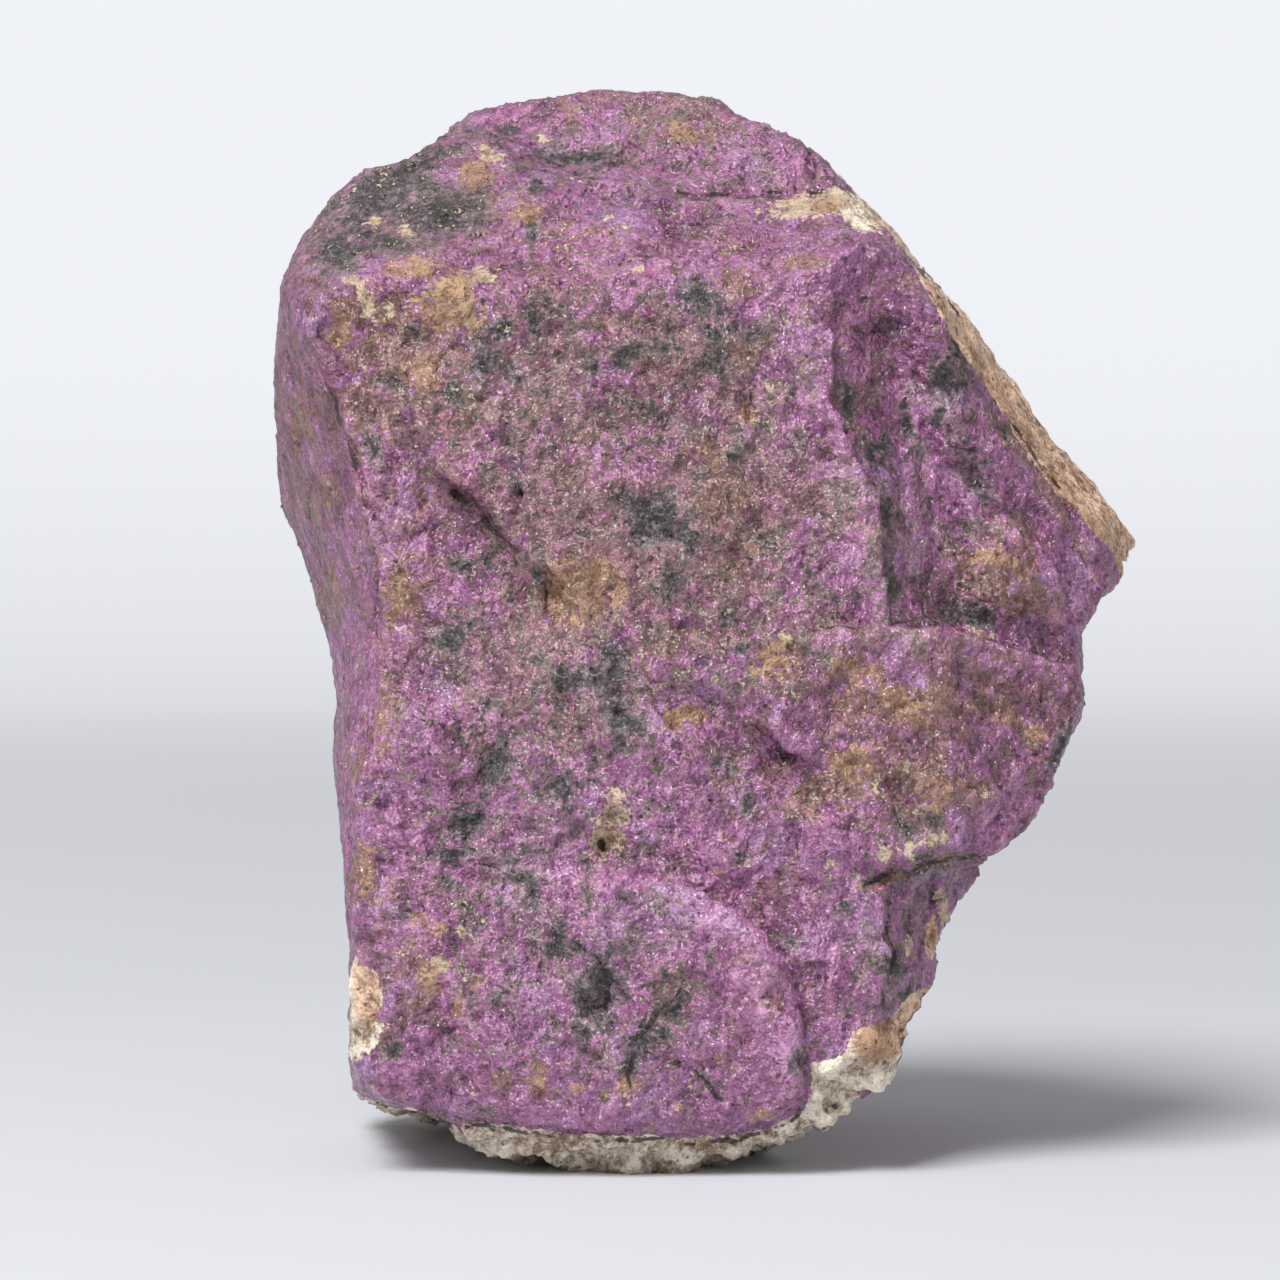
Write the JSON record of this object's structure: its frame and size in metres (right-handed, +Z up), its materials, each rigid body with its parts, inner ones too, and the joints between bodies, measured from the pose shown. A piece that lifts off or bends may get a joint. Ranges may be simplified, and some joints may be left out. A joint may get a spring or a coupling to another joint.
{
  "type": "purpurite",
  "caption": "Blocky fractured hand specimen of violet purpurite with a pale crust on one rim and along its foot, standing on a small flat spot.",
  "frame": {"origin": "on the plane the stone stands on, under the middle of its bounding box", "axes": "+Z is up, -Y is where the broad fractured face looks, and +X is to the right as one looks at that face"},
  "size_m": [0.0582, 0.0408, 0.0709],
  "materials": {
    "stone": "rough fractured violet phosphate with a silky glitter, and patches of dark oxide, rust and pale host rock"
  },
  "bodies": {
    "root": {"purpurite": "stone"}
  },
  "joints": []
}
